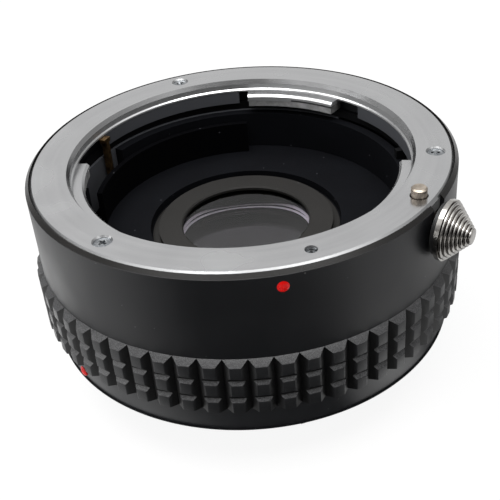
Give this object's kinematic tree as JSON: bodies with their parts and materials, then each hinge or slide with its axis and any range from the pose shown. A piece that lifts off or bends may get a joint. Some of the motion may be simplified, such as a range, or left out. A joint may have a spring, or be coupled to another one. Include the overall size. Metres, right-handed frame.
{
  "type": "camera teleconverter",
  "caption": "Short black camera teleconverter with a chromed bayonet ring, conical release knob, rows of grip blocks, lock pin, lens cell and rear bayonet.",
  "frame": {"origin": "centre of the rear bayonet's mounting face, the plane that seats on the camera", "axes": "+Z along the optical axis towards the lens side; -Y points to the side that faces the picture's camera, with the release knob at -36 degrees from +X and the front index dot near -Y"},
  "size_m": [0.0626, 0.0626, 0.0345],
  "materials": {
    "barrel_black": "satin black anodised",
    "mount_chrome": "satin chrome plate",
    "knob_nickel": "polished nickel plate",
    "pin_nickel": "nickel plate",
    "screw_steel": "polished",
    "spring_steel": "plain",
    "washer_black": "blackened",
    "index_red": "gloss enamel",
    "chamber_black": "matt black paint",
    "coupling_black": "black anodised",
    "arm_steel": "plain",
    "finger_brass": "dull",
    "cell_black": "matt black anodised",
    "glass_coated": "polished, single coated"
  },
  "bodies": {
    "converter": {"front_barrel": "barrel_black", "rear_barrel": "barrel_black", "front_bayonet_ring": "mount_chrome", "rear_bayonet": "mount_chrome", "front_mount_screws": "screw_steel", "housing_screws": "screw_steel", "rear_mount_screws": "screw_steel", "lug_springs": "spring_steel", "lock_spring": "spring_steel", "stop_down_spring": "spring_steel", "aperture_spring": "spring_steel", "ring_keeper": "spring_steel", "front_index_dot": "index_red", "rear_index_dot": "index_red", "inner_housing": "chamber_black", "chamber_guard": "chamber_black", "rear_baffle": "chamber_black", "spring_anchors": "finger_brass", "lens_cell": "cell_black", "front_retaining_ring": "cell_black", "rear_retaining_ring": "cell_black", "front_spacer": "cell_black", "middle_spacer": "cell_black", "rear_spacer": "cell_black", "front_element": "glass_coated", "second_element": "glass_coated", "third_element": "glass_coated", "rear_element": "glass_coated"},
    "lock": {"lock_pin": "pin_nickel", "lock_block": "pin_nickel", "knob_stem": "pin_nickel", "knob_washer": "washer_black", "release_knob": "knob_nickel"},
    "stop_down": {"stop_down_ring": "finger_brass", "stop_down_finger": "finger_brass", "stop_down_lever": "arm_steel", "lever_rivets": "finger_brass"},
    "aperture": {"aperture_coupling_ring": "coupling_black", "aperture_rear_arm": "arm_steel"}
  },
  "joints": [
    {"name": "lock_slide", "type": "slide", "parent": "converter", "child": "lock", "axis": [0, 0, -1], "range_m": [0, 0.0016], "stiffness_N_per_m": 400, "springref_m": -0.002, "deforming": ["lock_spring"]},
    {"name": "stop_down_turn", "type": "hinge", "parent": "converter", "child": "stop_down", "pos_m": [0, 0, 0.0111], "axis": [0, 0, 1], "range_deg": [0, 16], "stiffness_Nm_per_rad": 0.01, "springref_deg": -17.19, "deforming": ["stop_down_spring"]},
    {"name": "aperture_turn", "type": "hinge", "parent": "converter", "child": "aperture", "pos_m": [0, 0, 0.0213], "axis": [0, 0, 1], "range_deg": [0, 40], "stiffness_Nm_per_rad": 0.006, "springref_deg": -28.65, "deforming": ["aperture_spring"]}
  ]
}
